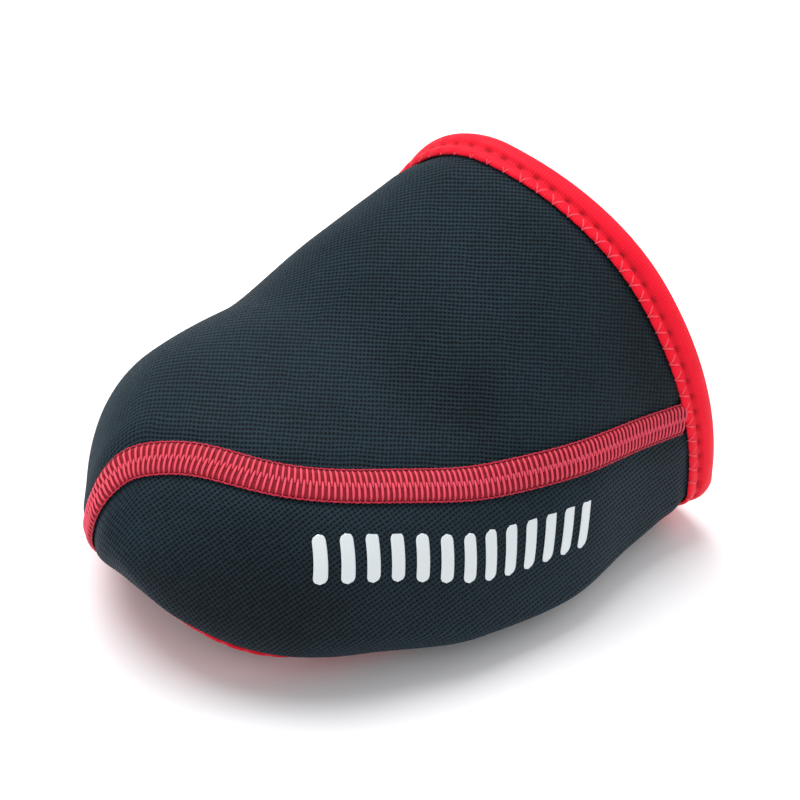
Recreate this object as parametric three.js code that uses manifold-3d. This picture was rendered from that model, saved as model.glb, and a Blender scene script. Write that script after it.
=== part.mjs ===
// Cycling overshoe for the left foot: a toe cover of knit-faced neoprene, pulled over the front half of a
// cycling shoe. One piece of neoprene wraps the forefoot and closes on itself along one flatlock seam, which
// climbs the front of the toe and runs back along the outer side. A folded tape binds the collar behind the
// instep, and another binds the long window under the sole, where the shoe's tread stands on the ground.
// Millimetres. The toe points along -Y, the outer side of the foot is +X, and the window's tape stands on Z = 0.

import * as THREE from "three";
import { mergeVertices } from "three/addons/utils/BufferGeometryUtils.js";
import Module from "manifold-3d";

const wasm = await Module();
wasm.setup();

// The last: the outer form of the worn neoprene
const COVER_LENGTH = 138; // toe tip to the collar's edge under the arch
const BALL_WIDTH = 106;
const INSTEP_HEIGHT = 84.5; // floor to the ridge at the collar
const TOE_SPRING = 10; // rise of the underside at the toe tip
const NOSE_LENGTH = 36; // how far back the toe's rounding reaches in plan
const NOSE_RISE_LENGTH = 22; // and from the side
const NOSE_HEIGHT = 26.5; // height of the foremost point
const SOLE_EDGE_POWER = 2.2; // how square the section turns in under the foot
const SOLE_FLAT_DEPTH = 4; // how far the turned-in edges would meet below the flat that standing presses
const SOLE_BLEND = 1.2; // softness of that flat's border

// The neoprene and its trims
const WALL = 2.8;
const TAPE = 0.8;
const COLLAR_TAPE_WIDTH = 7.5;
const WINDOW_TAPE_WIDTH = 6;
const SEAM_WIDTH = 6.4;
const SEAM_HEIGHT = 0.6;
const CLEARANCE = 0.3; // between pieces that lie on each other
const FLAT_CUT = 0.4; // depth of the flat that standing presses into the window's tape

// The window under the sole
const WINDOW_FRONT = 12; // from the toe tip
const WINDOW_REAR = 117;
const WINDOW_POWER = 3; // how square its ends are

// Stations along the foot. at is a share of COVER_LENGTH, inner, outer and ridge of half the ball's width,
// top and girth (the widest height) of INSTEP_HEIGHT, and sole of TOE_SPRING. The powers shape the upper arc:
// 2 is an ellipse, and more is squarer.
const LAST = [
  { at: 0.0, inner: 0.48, outer: 0.62, ridge: -0.12, top: 0.45, girth: 0.23, sole: 1.0, innerPower: 2.3, outerPower: 2.3 },
  { at: 0.11, inner: 0.67, outer: 0.76, ridge: -0.15, top: 0.555, girth: 0.22, sole: 0.68, innerPower: 2.37, outerPower: 2.32 },
  { at: 0.25, inner: 0.805, outer: 0.855, ridge: -0.17, top: 0.62, girth: 0.19, sole: 0.3, innerPower: 2.38, outerPower: 2.22 },
  { at: 0.43, inner: 0.925, outer: 1.015, ridge: -0.175, top: 0.65, girth: 0.14, sole: 0.0, innerPower: 2.25, outerPower: 2.1 },
  { at: 0.61, inner: 0.945, outer: 1.055, ridge: -0.15, top: 0.84, girth: 0.12, sole: 0.0, innerPower: 2.04, outerPower: 2.05 },
  { at: 0.79, inner: 0.89, outer: 0.99, ridge: -0.11, top: 1.0, girth: 0.14, sole: 0.0, innerPower: 1.84, outerPower: 1.98 },
  { at: 0.97, inner: 0.8, outer: 0.945, ridge: -0.075, top: 1.0, girth: 0.195, sole: 0.1, innerPower: 1.88, outerPower: 1.99 },
  { at: 1.15, inner: 0.73, outer: 0.88, ridge: -0.05, top: 1.0, girth: 0.255, sole: 0.3, innerPower: 1.96, outerPower: 2.0 },
];

// The collar's edge round the foot: turn in degrees from the ridge by the outer side, at a share of COVER_LENGTH
const COLLAR = [
  { turn: 0, at: 0.815 },
  { turn: 45, at: 0.91 },
  { turn: 90, at: 0.99 },
  { turn: 135, at: 1.015 },
  { turn: 180, at: 1.01 },
  { turn: 225, at: 0.955 },
  { turn: 270, at: 0.875 },
  { turn: 315, at: 0.83 },
];

// The window's sides, in degrees round the section from the middle of the underside. On the inner side the
// hem climbs the edge of the shoe's sole beside the big toe.
const WINDOW = [
  { at: 0.08, inner: 60, outer: 44 },
  { at: 0.25, inner: 64, outer: 39 },
  { at: 0.4, inner: 55, outer: 36 },
  { at: 0.55, inner: 45, outer: 36 },
  { at: 0.7, inner: 42, outer: 37 },
  { at: 0.86, inner: 41, outer: 38 },
];

// The seam's path, from the window's front edge up over the toe and back along the outer side to the collar
const SEAM = [
  { at: 0.085, turn: -152 },
  { at: 0.03, turn: -128 },
  { at: 0.016, turn: -90 },
  { at: 0.021, turn: -57 },
  { at: 0.036, turn: -22 },
  { at: 0.062, turn: 0 },
  { at: 0.11, turn: 14 },
  { at: 0.17, turn: 30 },
  { at: 0.26, turn: 42 },
  { at: 0.39, turn: 48 },
  { at: 0.53, turn: 56 },
  { at: 0.7, turn: 65 },
  { at: 0.91, turn: 72 },
];

// How finely the curves are stepped
const ROWS = 22;
const COLUMNS = 52;
const WINDOW_STEPS = 52;
const SEAM_STEPS = 48;
const NOSE_CROWDING = 1.6; // draws the rows together towards the toe
const SLOPE_STEP = 0.05; // for slopes taken by difference

const HALF_BALL = BALL_WIDTH / 2;
const SOLE_LEVEL = CLEARANCE + TAPE - FLAT_CUT / 2; // the neoprene's underside over the floor
const DEGREE = Math.PI / 180;
const FULL_TURN = 2 * Math.PI;

// A smooth curve through a table's column that never overshoots its rows (Fritsch and Carlson's slopes)
function smoothColumn(rows, key, column) {
  const x = rows.map((row) => row[key]);
  const v = rows.map((row) => row[column]);
  const rise = x.slice(1).map((_, i) => (v[i + 1] - v[i]) / (x[i + 1] - x[i]));
  const slope = x.map((_, i) => {
    if (i === 0) return rise[0];
    if (i === x.length - 1) return rise[i - 1];
    const [before, after] = [rise[i - 1], rise[i]];
    return before * after <= 0 ? 0 : (2 * before * after) / (before + after);
  });
  return (at) => {
    let i = 0;
    while (i < x.length - 2 && at > x[i + 1]) i += 1;
    const width = x[i + 1] - x[i];
    const t = Math.min(1, Math.max(0, (at - x[i]) / width));
    return (
      v[i] * (1 + 2 * t) * (1 - t) ** 2 +
      slope[i] * width * t * (1 - t) ** 2 +
      v[i + 1] * t * t * (3 - 2 * t) -
      slope[i + 1] * width * t * t * (1 - t)
    );
  };
}

// The same round the foot, through rows at even turns
function roundColumn(rows, column) {
  return (turn) => {
    const place = ((turn / DEGREE / (360 / rows.length)) % rows.length + rows.length) % rows.length;
    const i = Math.floor(place);
    const t = place - i;
    const [a, b, c, d] = [-1, 0, 1, 2].map((k) => rows[(i + k + rows.length) % rows.length][column]);
    return b + 0.5 * t * (c - a + t * (2 * a - 5 * b + 4 * c - d + t * (3 * (b - c) + d - a)));
  };
}

const last = Object.fromEntries(
  Object.keys(LAST[0])
    .filter((column) => column !== "at")
    .map((column) => [column, smoothColumn(LAST, "at", column)]),
);
const collarAt = roundColumn(COLLAR, "at");
const windowInner = smoothColumn(WINDOW, "at", "inner");
const windowOuter = smoothColumn(WINDOW, "at", "outer");

// From 0 at the toe tip to 1 where the nose's rounding ends
function noseRound(share) {
  return Math.sqrt(1 - (1 - Math.min(1, Math.max(0, share))) ** 2);
}

// The heights and half widths of the section at y behind the toe tip
function section(y) {
  const at = y / COVER_LENGTH;
  const plan = noseRound(y / NOSE_LENGTH);
  const side = noseRound(y / NOSE_RISE_LENGTH);
  const height = (z) => NOSE_HEIGHT + (z - NOSE_HEIGHT) * side;
  return {
    inner: -last.inner(at) * HALF_BALL * plan,
    outer: last.outer(at) * HALF_BALL * plan,
    ridge: last.ridge(at) * HALF_BALL * plan,
    top: height(last.top(at) * INSTEP_HEIGHT),
    girth: height(last.girth(at) * INSTEP_HEIGHT),
    sole: height(last.sole(at) * TOE_SPRING + SOLE_LEVEL),
    meeting: height(last.sole(at) * TOE_SPRING + SOLE_LEVEL - SOLE_FLAT_DEPTH),
    blend: SOLE_BLEND * side,
    innerPower: last.innerPower(at),
    outerPower: last.outerPower(at),
  };
}

// The higher of two heights, with their crossing softened
function softMax(a, b, blend) {
  const near = Math.max(0, 1 - Math.abs(a - b) / Math.max(blend, 1e-6));
  return Math.max(a, b) + (near * near * blend) / 4;
}

// A point of the last's skin. turn is 0 on the ridge, a quarter on the outer side and a half under the foot.
function lastPoint(y, turn) {
  const s = section(y);
  const [across, up] = [Math.sin(turn), Math.cos(turn)];
  const onOuter = across >= 0;
  const above = up >= 0;
  const power = above ? (onOuter ? s.outerPower : s.innerPower) : SOLE_EDGE_POWER;
  const reach = Math.abs(across) ** (2 / power);
  const rise = Math.abs(up) ** (2 / power);
  const middle = above ? s.ridge : (s.inner + s.outer) / 2;
  const x = middle + ((onOuter ? s.outer : s.inner) - middle) * reach;
  const z = s.girth + ((above ? s.top : s.meeting) - s.girth) * rise;
  return new THREE.Vector3(x, y, above ? z : softMax(z, s.sole, s.blend));
}

// The skin's two slopes, along the foot and round it, and its outward normal
function slopes(y, turn) {
  const back = Math.max(y, SLOPE_STEP * 2);
  const along = lastPoint(back + SLOPE_STEP, turn).sub(lastPoint(back - SLOPE_STEP, turn)).divideScalar(2 * SLOPE_STEP);
  const spread = 2 * DEGREE;
  const round = lastPoint(back, turn + spread).sub(lastPoint(back, turn - spread)).divideScalar(2 * spread);
  return { along, round, normal: new THREE.Vector3().crossVectors(round, along).normalize() };
}

// A point off the skin: outwards is positive
function skinPoint(y, turn, off) {
  return lastPoint(y, turn).addScaledVector(slopes(y, turn).normal, off);
}

// An edge or path on the skin. Returns the point that lies inset into the neoprene and off the skin beside step s.
function besidePath(place, intoFabric) {
  return (s, inset, off) => {
    const h = 1e-3;
    const [here, before, after] = [place(s), place(s - h), place(s + h)];
    const { along, round, normal } = slopes(here.y, here.turn);
    const run = along.clone().multiplyScalar(after.y - before.y).addScaledVector(round, after.turn - before.turn);
    const into = new THREE.Vector3().crossVectors(normal, run).normalize().multiplyScalar(intoFabric);
    const [aa, ab, bb] = [along.dot(along), along.dot(round), round.dot(round)];
    const [ai, bi] = [along.dot(into), round.dot(into)];
    const spread = aa * bb - ab * ab;
    const dy = (ai * bb - bi * ab) / spread;
    const dturn = (bi * aa - ai * ab) / spread;
    return skinPoint(here.y + dy * inset, here.turn + dturn * inset, off);
  };
}

const collarPlace = (s) => ({ y: collarAt(s * FULL_TURN) * COVER_LENGTH, turn: s * FULL_TURN });

// The window's edge: a long oval whose sides follow the foot's
function windowPlace(s) {
  const [c, d] = [Math.cos(s * FULL_TURN), Math.sin(s * FULL_TURN)];
  const size = (Math.abs(c) ** WINDOW_POWER + Math.abs(d) ** WINDOW_POWER) ** (-1 / WINDOW_POWER);
  const y = (WINDOW_FRONT + WINDOW_REAR) / 2 + ((WINDOW_REAR - WINDOW_FRONT) / 2) * c * size;
  const spread = d > 0 ? windowInner(y / COVER_LENGTH) : windowOuter(y / COVER_LENGTH);
  return { y, turn: Math.PI + d * size * spread * DEGREE };
}

const seamAlong = (() => {
  const rows = SEAM.map((row, i) => ({ ...row, turn: row.turn * DEGREE, step: i / (SEAM.length - 1) }));
  const [at, turn] = ["at", "turn"].map((column) => smoothColumn(rows, "step", column));
  return (s) => ({ y: at(s) * COVER_LENGTH, turn: turn(s) });
})();

const besideCollar = besidePath(collarPlace, -1);
const besideWindow = besidePath(windowPlace, 1);
const besideSeam = besidePath(seamAlong, 1);

// Solids
function solidOf(points, triangles) {
  const geometry = new THREE.BufferGeometry();
  geometry.setAttribute("position", new THREE.Float32BufferAttribute(points.flatMap((p) => p.toArray()), 3));
  geometry.setIndex(triangles.flat());
  return manifoldOf(geometry);
}

function manifoldOf(geometry) {
  const bare = geometry.clone();
  bare.deleteAttribute("normal");
  bare.deleteAttribute("uv");
  const merged = mergeVertices(bare, 1e-5);
  const made = (triVerts) =>
    new wasm.Manifold(
      new wasm.Mesh({ numProp: 3, vertProperties: merged.attributes.position.array, triVerts }),
    );
  const solid = made(new Uint32Array(merged.index.array));
  return solid.volume() > 0 ? solid : made(new Uint32Array(merged.index.array).reverse());
}

function geometryOf(solid) {
  const mesh = solid.getMesh();
  const geometry = new THREE.BufferGeometry();
  geometry.setAttribute("position", new THREE.BufferAttribute(new Float32Array(mesh.vertProperties), 3));
  geometry.setIndex(new THREE.BufferAttribute(new Uint32Array(mesh.triVerts), 1));
  const faceted = geometry.toNonIndexed();
  faceted.computeVertexNormals();
  return faceted;
}

// A closed body through rings of points, each ring in the same order. A loop joins its last ring to its first,
// and otherwise each end is closed by a fan.
function loft(rings, isLoop) {
  const size = rings[0].length;
  const points = rings.flat();
  const triangles = [];
  const spans = isLoop ? rings.length : rings.length - 1;
  for (let i = 0; i < spans; i += 1) {
    const [here, next] = [i * size, ((i + 1) % rings.length) * size];
    for (let j = 0; j < size; j += 1) {
      const k = (j + 1) % size;
      triangles.push([here + j, next + j, next + k], [here + j, next + k, here + k]);
    }
  }
  if (!isLoop) {
    [0, rings.length - 1].forEach((i) => {
      const centre = points.length;
      const sum = rings[i].reduce((total, p) => total.add(p), new THREE.Vector3());
      points.push(sum.divideScalar(size));
      for (let j = 0; j < size; j += 1) {
        const [a, b] = [i * size + j, i * size + ((j + 1) % size)];
        triangles.push(i === 0 ? [centre, a, b] : [centre, b, a]);
      }
    });
  }
  return solidOf(points, triangles);
}

// The neoprene's wall as one closed skin, from its outer face at the toe round the collar's edge to its inner
// face: grow thickens it on both sides and at the collar.
function wallSolid(grow) {
  const ring = (share, off) =>
    Array.from({ length: COLUMNS }, (_, j) => {
      const { y, turn } = collarPlace(j / COLUMNS);
      return skinPoint((y + grow) * share ** NOSE_CROWDING, turn, off);
    });
  const tip = (off) => Array.from({ length: COLUMNS }, () => new THREE.Vector3(0, -off, NOSE_HEIGHT));
  const rows = Array.from({ length: ROWS }, (_, i) => (i + 1) / ROWS);
  const outside = rows.map((share) => ring(share, grow));
  const inside = rows.map((share) => ring(share, -WALL - grow)).reverse();
  return loft([tip(grow), ...outside, ...inside, tip(-WALL - grow)], false);
}

// The plug that opens the window: its wall stands square to the skin
function windowPlug(inset) {
  const reach = 3 * WALL;
  const ring = (off) =>
    Array.from({ length: WINDOW_STEPS }, (_, i) => besideWindow(i / WINDOW_STEPS, inset, off));
  return loft([ring(reach), ring(-reach)], false);
}

// A folded tape round an edge, drawn as the whole fold before the neoprene is taken out of it
function tapeFold(beside, steps, width, grow) {
  const [top, bottom] = [CLEARANCE + TAPE + grow, -WALL - CLEARANCE - TAPE - grow];
  const nose = -CLEARANCE - TAPE - grow;
  const profile = [
    [width + grow, top - TAPE / 2],
    [width + grow - TAPE / 2, top],
    [width / 2, top],
    [0, top],
    [nose * 0.75, top - TAPE * 0.7],
    [nose, -WALL / 2],
    [nose * 0.75, bottom + TAPE * 0.7],
    [0, bottom],
    [width / 2, bottom],
    [width + grow - TAPE / 2, bottom],
    [width + grow, bottom + TAPE / 2],
  ];
  return loft(
    Array.from({ length: steps }, (_, i) => profile.map(([inset, off]) => beside(i / steps, inset, off))),
    true,
  );
}

// The flatlock seam: a low crowned rib of thread
function seamRib() {
  const [half, top] = [SEAM_WIDTH / 2, CLEARANCE + SEAM_HEIGHT];
  const profile = [
    [-half, 0],
    [-half, top * 0.55],
    [-half * 0.7, top * 0.95],
    [0, top * 0.8],
    [half * 0.7, top * 0.95],
    [half, top * 0.55],
    [half, 0],
  ];
  return loft(
    Array.from({ length: SEAM_STEPS + 1 }, (_, i) =>
      profile.map(([inset, off]) => besideSeam(i / SEAM_STEPS, inset, off)),
    ),
    false,
  );
}

// Everything below the floor
function floorBlock() {
  const size = 3 * COVER_LENGTH;
  return manifoldOf(new THREE.BoxGeometry(size, size, size).translate(0, COVER_LENGTH / 2, -size / 2));
}

// The largest of a cut's pieces
function mainPiece(solid) {
  return solid.decompose().sort((a, b) => b.volume() - a.volume())[0];
}

const wallWithClearance = wallSolid(CLEARANCE).subtract(windowPlug(-CLEARANCE));
const collarFold = (grow) => tapeFold(besideCollar, COLUMNS, COLLAR_TAPE_WIDTH, grow);
const windowFold = (grow) => tapeFold(besideWindow, WINDOW_STEPS, WINDOW_TAPE_WIDTH, grow);

const pieces = {
  upper: wallSolid(0).subtract(windowPlug(0)),
  collar_binding: mainPiece(collarFold(0).subtract(wallWithClearance)),
  window_binding: mainPiece(windowFold(0).subtract(wallWithClearance).subtract(floorBlock())),
  flatlock_seam: mainPiece(
    seamRib().subtract(wallWithClearance).subtract(collarFold(CLEARANCE)).subtract(windowFold(CLEARANCE)),
  ),
};

const finishes = {
  upper: { color: 0x1c2329, roughness: 0.85, metalness: 0 },
  collar_binding: { color: 0xd8132b, roughness: 0.7, metalness: 0 },
  window_binding: { color: 0xd8132b, roughness: 0.7, metalness: 0 },
  flatlock_seam: { color: 0xc21f3a, roughness: 0.6, metalness: 0 },
};

const overshoe = new THREE.Group();
for (const [name, solid] of Object.entries(pieces)) {
  const mesh = new THREE.Mesh(geometryOf(solid), new THREE.MeshStandardMaterial(finishes[name]));
  mesh.name = name;
  overshoe.add(mesh);
}

// The origin is under the middle of the whole cover
const reach = new THREE.Box3().setFromObject(overshoe);
const middle = reach.getCenter(new THREE.Vector3());
overshoe.position.set(-middle.x, -middle.y, -reach.min.z);

export default overshoe;
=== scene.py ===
# %% [markdown]
# # A cycling toe cover in Blender
# A toe cover is a sleeve of knit-faced neoprene that pulls over the front half of a cycling shoe.
# It is cut flat in one piece and closed on itself by one flatlock seam. Its two raw edges, the collar
# and the window under the sole, are bound with folded tape.
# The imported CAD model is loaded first. It fixes the sizes, and the pieces made here are laid over it.

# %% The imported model
import math

import bpy
import numpy as np
from mathutils import Matrix, Vector
from mathutils.kdtree import KDTree


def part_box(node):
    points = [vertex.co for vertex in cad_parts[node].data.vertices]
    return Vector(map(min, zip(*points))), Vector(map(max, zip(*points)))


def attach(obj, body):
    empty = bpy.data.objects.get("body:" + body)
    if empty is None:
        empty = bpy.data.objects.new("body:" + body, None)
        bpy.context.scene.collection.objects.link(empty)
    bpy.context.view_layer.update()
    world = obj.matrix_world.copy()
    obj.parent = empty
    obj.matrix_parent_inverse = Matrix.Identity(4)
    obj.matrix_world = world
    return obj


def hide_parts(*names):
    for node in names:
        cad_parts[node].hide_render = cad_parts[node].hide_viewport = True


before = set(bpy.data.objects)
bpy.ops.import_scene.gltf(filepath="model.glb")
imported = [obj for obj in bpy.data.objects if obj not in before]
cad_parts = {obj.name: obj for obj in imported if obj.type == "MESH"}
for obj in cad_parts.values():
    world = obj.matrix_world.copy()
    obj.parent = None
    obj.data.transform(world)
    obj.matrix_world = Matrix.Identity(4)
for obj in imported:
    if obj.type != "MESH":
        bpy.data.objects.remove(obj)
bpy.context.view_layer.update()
bpy.ops.object.select_all(action="DESELECT")

# %% [markdown]
# The cover has no straight line on it, so every piece is laid on one shared surface: the last.
# A last could be sculpted, or lofted through drawn curves. Here it is a formula, because then the
# seam, the tapes and the print can ask it for any point and all agree to a tenth of a millimetre.
# The sizes are the part's own, in millimetres, and the tables' shares were chosen one by one. Only the
# seam differs: it is a little wider here, and lies nearer to the photograph's round the toe.

# %% Sizes of the last
MM = 0.001
COVER_LENGTH = 138
BALL_WIDTH = 106
INSTEP_HEIGHT = 84.5
TOE_SPRING = 10
NOSE_LENGTH = 36
NOSE_RISE_LENGTH = 22
NOSE_HEIGHT = 26.5
SOLE_EDGE_POWER = 2.2
SOLE_FLAT_DEPTH = 4
SOLE_BLEND = 1.2
SOLE_LEVEL = 0.9

WALL = 2.8
TAPE = 0.8
CLEARANCE = 0.3
COLLAR_TAPE_WIDTH = 7.5
WINDOW_TAPE_WIDTH = 6
SEAM_WIDTH = 7.1
SEAM_HEIGHT = 0.6

WINDOW_FRONT = 12
WINDOW_REAR = 117
WINDOW_POWER = 3

# Each column's value at shares of the cover's length. Inner, outer and ridge are shares of half the
# ball's width, top and girth of the instep's height, and sole of the toe's spring.
LAST = {
    "at": [0.0, 0.11, 0.25, 0.43, 0.61, 0.79, 0.97, 1.15],
    "inner": [0.48, 0.67, 0.805, 0.925, 0.945, 0.89, 0.8, 0.73],
    "outer": [0.62, 0.76, 0.855, 1.015, 1.055, 0.99, 0.945, 0.88],
    "ridge": [-0.12, -0.15, -0.17, -0.175, -0.15, -0.11, -0.075, -0.05],
    "top": [0.45, 0.555, 0.62, 0.65, 0.84, 1.0, 1.0, 1.0],
    "girth": [0.23, 0.22, 0.19, 0.14, 0.12, 0.14, 0.195, 0.255],
    "sole": [1.0, 0.68, 0.3, 0.0, 0.0, 0.0, 0.1, 0.3],
    "inner_power": [2.3, 2.37, 2.38, 2.25, 2.04, 1.84, 1.88, 1.96],
    "outer_power": [2.3, 2.32, 2.22, 2.1, 2.05, 1.98, 1.99, 2.0],
}
COLLAR = [0.815, 0.91, 0.99, 1.015, 1.01, 0.955, 0.875, 0.83]  # every 45 degrees from the ridge
# Degrees from the middle of the sole to the window's two sides
WINDOW = {
    "at": [0.08, 0.25, 0.4, 0.55, 0.7, 0.86],
    "inner": [60, 64, 55, 45, 42, 41],
    "outer": [44, 39, 36, 36, 37, 38],
}
# The seam's way from under the toe to the collar: a share of the length, and degrees from the ridge
SEAM = {
    "at": [0.1, 0.052, 0.027, 0.0255, 0.042, 0.075, 0.116, 0.17, 0.26, 0.39, 0.53, 0.7, 0.91],
    "turn": [-150, -118, -85, -57, -22, 0, 14, 31.5, 42, 47.5, 56, 65, 72],
}


# %% [markdown]
# A table becomes a smooth curve by cubic pieces whose slopes never overshoot the rows. NumPy works
# out thousands of points at once, which keeps the script quick.

# %% Curves through the tables
def smooth_column(x, values, at):
    """The value at a place, of a smooth curve through values that stand at the places x."""
    x, values = np.asarray(x, float), np.asarray(values, float)
    rise = np.diff(values) / np.diff(x)
    slope = np.empty_like(x)
    slope[0], slope[-1] = rise[0], rise[-1]
    before, after = rise[:-1], rise[1:]
    same_way = before * after > 0
    total = np.where(same_way, before + after, 1.0)
    slope[1:-1] = np.where(same_way, 2 * before * after / total, 0.0)
    at = np.asarray(at, float)
    i = np.clip(np.searchsorted(x, at, side="right") - 1, 0, len(x) - 2)
    width = x[i + 1] - x[i]
    t = np.clip((at - x[i]) / width, 0, 1)
    return (
        values[i] * (1 + 2 * t) * (1 - t) ** 2
        + slope[i] * width * t * (1 - t) ** 2
        + values[i + 1] * t * t * (3 - 2 * t)
        - slope[i + 1] * width * t * t * (1 - t)
    )


def through_four(a, b, c, d, t):
    """A smooth curve from b at t = 0 to c at t = 1, where a comes before b and d after c."""
    return b + 0.5 * t * (c - a + t * (2 * a - 5 * b + 4 * c - d + t * (3 * (b - c) + d - a)))


def round_column(rows, turn):
    """The value at a turn, of a smooth closed curve through rows spaced evenly round the foot."""
    rows = np.asarray(rows, float)
    place = np.mod(turn / (2 * np.pi) * len(rows), len(rows))
    i = np.floor(place).astype(int)
    return through_four(*[rows[(i + k) % len(rows)] for k in (-1, 0, 1, 2)], place - i)


# %% [markdown]
# A point on the last is asked for by y, its distance behind the toe tip, and turn, the way round the
# foot: 0 on the ridge, a quarter turn on the outer side, a half turn under the sole. Each section is a
# blend between an ellipse and a rectangle, and the underside is pressed flat where it stands.

# %% The last
def unit(v):
    return v / np.linalg.norm(v, axis=-1, keepdims=True)


def dot(a, b):
    return (a * b).sum(-1)


def arc_lengths(points):
    """How far along its line each point lies, where a line is a row of points."""
    steps = np.linalg.norm(np.diff(points, axis=-2), axis=-1)
    return np.concatenate([0 * steps[..., :1], np.cumsum(steps, axis=-1)], axis=-1)


def nose_round(share):
    """A quarter circle: 0 at the tip, 1 at the end of the nose."""
    return np.sqrt(1 - (1 - np.clip(share, 0, 1)) ** 2)


def last_point(y, turn):
    """The point on the last at y and turn, in millimetres."""
    y, turn = np.broadcast_arrays(np.asarray(y, float), np.asarray(turn, float))
    at = y / COVER_LENGTH
    column = {name: smooth_column(LAST["at"], LAST[name], at) for name in LAST if name != "at"}
    plan = nose_round(y / NOSE_LENGTH) * BALL_WIDTH / 2
    side = nose_round(y / NOSE_RISE_LENGTH)
    top = column["top"] * INSTEP_HEIGHT
    girth = column["girth"] * INSTEP_HEIGHT
    sole = column["sole"] * TOE_SPRING + SOLE_LEVEL
    top, girth, meeting, sole = [
        NOSE_HEIGHT + (z - NOSE_HEIGHT) * side for z in (top, girth, sole - SOLE_FLAT_DEPTH, sole)
    ]
    inner, outer, ridge = -column["inner"] * plan, column["outer"] * plan, column["ridge"] * plan
    across, up = np.sin(turn), np.cos(turn)
    above = up >= 0
    power = np.where(across >= 0, column["outer_power"], column["inner_power"])
    power = np.where(above, power, SOLE_EDGE_POWER)
    reach, rise = np.abs(across) ** (2 / power), np.abs(up) ** (2 / power)
    middle = np.where(above, ridge, (inner + outer) / 2)
    x = middle + (np.where(across >= 0, outer, inner) - middle) * reach
    z = girth + (np.where(above, top, meeting) - girth) * rise
    near = np.maximum(0, 1 - np.abs(z - sole) / np.maximum(SOLE_BLEND * side, 1e-6))
    pressed = np.maximum(z, sole) + near**2 * SOLE_BLEND * side / 4
    return np.stack([x, y, np.where(above, z, pressed)], axis=-1)


def slopes(y, turn):
    """How the point moves as y and turn grow, and the unit way out of the skin."""
    y = np.maximum(np.asarray(y, float), 0.1)
    step, spread = 0.05, math.radians(2)
    along = (last_point(y + step, turn) - last_point(y - step, turn)) / (2 * step)
    around = (last_point(y, turn + spread) - last_point(y, turn - spread)) / (2 * spread)
    return along, around, unit(np.cross(around, along))


print("Ridge at the collar, mm:", last_point(COLLAR[0] * COVER_LENGTH, 0.0).round(1))


# %% [markdown]
# The collar, the window and the seam are paths on that surface. A worn cover is never perfectly
# smooth: the neoprene sinks beside a tight seam, and bends softly where it is drawn over the shoe.
# Those creases are a few soft troughs and ridges, listed in a table.

# %% The paths, and the creases between them
PATH_STEPS = 1500
SEAM_EASE = 0.075


def collar_place(s):
    turn = np.asarray(s, float) * 2 * np.pi
    return round_column(COLLAR, turn) * COVER_LENGTH, turn


def window_place(s):
    s = np.asarray(s, float) * 2 * np.pi
    c, d = np.cos(s), np.sin(s)
    size = (np.abs(c) ** WINDOW_POWER + np.abs(d) ** WINDOW_POWER) ** (-1 / WINDOW_POWER)
    y = (WINDOW_FRONT + WINDOW_REAR) / 2 + (WINDOW_REAR - WINDOW_FRONT) / 2 * c * size
    inner = smooth_column(WINDOW["at"], WINDOW["inner"], y / COVER_LENGTH)
    outer = smooth_column(WINDOW["at"], WINDOW["outer"], y / COVER_LENGTH)
    return y, np.pi + d * size * np.radians(np.where(d > 0, inner, outer))


def seam_place(s):
    steps = np.linspace(0, 1, len(SEAM["at"]))
    y = smooth_column(steps, SEAM["at"], s) * COVER_LENGTH
    return y, np.radians(smooth_column(steps, SEAM["turn"], s))


def nearest_place(y, turn, aim):
    """The place on the last nearest to a point in space, stepped towards from a place close by."""
    # Newton's steps, kept short in turn because the way round is short near the tip
    for _ in range(5):
        along, around, _out = slopes(y, turn)
        left = aim - last_point(y, turn)
        aa, ab, bb = dot(along, along), dot(along, around), dot(around, around)
        al, bl = dot(along, left), dot(around, left)
        spread = aa * bb - ab * ab
        y = y + (al * bb - bl * ab) / spread
        turn = turn + np.clip((bl * aa - al * ab) / spread, -0.3, 0.3)
    return y, turn


def eased(place, reach):
    """An open path with its bends eased, over a reach that is a share of its length."""
    steps = np.linspace(0, 1, PATH_STEPS + 1)
    reach_steps = reach * PATH_STEPS
    near = np.arange(-int(reach_steps), int(reach_steps) + 1)
    weight = np.exp(-((near / (reach_steps / 2)) ** 2))
    y, turn = place(steps)
    ends = ((near[-1], near[-1]), (0, 0))
    points = np.pad(last_point(y, turn), ends, "reflect", reflect_type="odd")
    points = np.stack([np.convolve(p, weight / weight.sum(), "valid") for p in points.T], axis=-1)
    y, turn = nearest_place(y, turn, points)
    return lambda s: (np.interp(s, steps, y), np.interp(s, steps, turn))


def by_length(place, closed):
    """The same path, with s shared out evenly along its length."""
    steps = np.linspace(0, 1, PATH_STEPS + 1)
    share = arc_lengths(last_point(*place(steps)))
    share /= share[-1]

    def even_place(s):
        laps = np.floor(s) if closed else 0
        return place(laps + np.interp(s - laps, share, steps))

    return even_place


# Each fold: y and turn of its middle, half length along the foot, half width round it, and rise
FOLDS = [
    (66, -8, 9, 34, -0.7),
    (64, 25, 5.5, 9, -0.5),
    (71, 38, 5.5, 10, -0.8),
    (74, -62, 14, 16, 0.45),
    (100, 52, 12, 11, -0.55),
    (88, 88, 16, 13, 0.4),
    (40, 78, 18, 15, 0.35),
]


def soft_spots(rows, y, turn):
    """The sum of soft round spots, each row giving y, turn, half length, half width and amount."""
    total = np.zeros(np.broadcast(y, turn).shape)
    for spot_y, spot_turn, length, width, amount in rows:
        off_turn = np.angle(np.exp(1j * (turn - math.radians(spot_turn)))) / math.radians(width)
        total = total + amount * np.exp(-(((y - spot_y) / length) ** 2) - off_turn**2)
    return total


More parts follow.
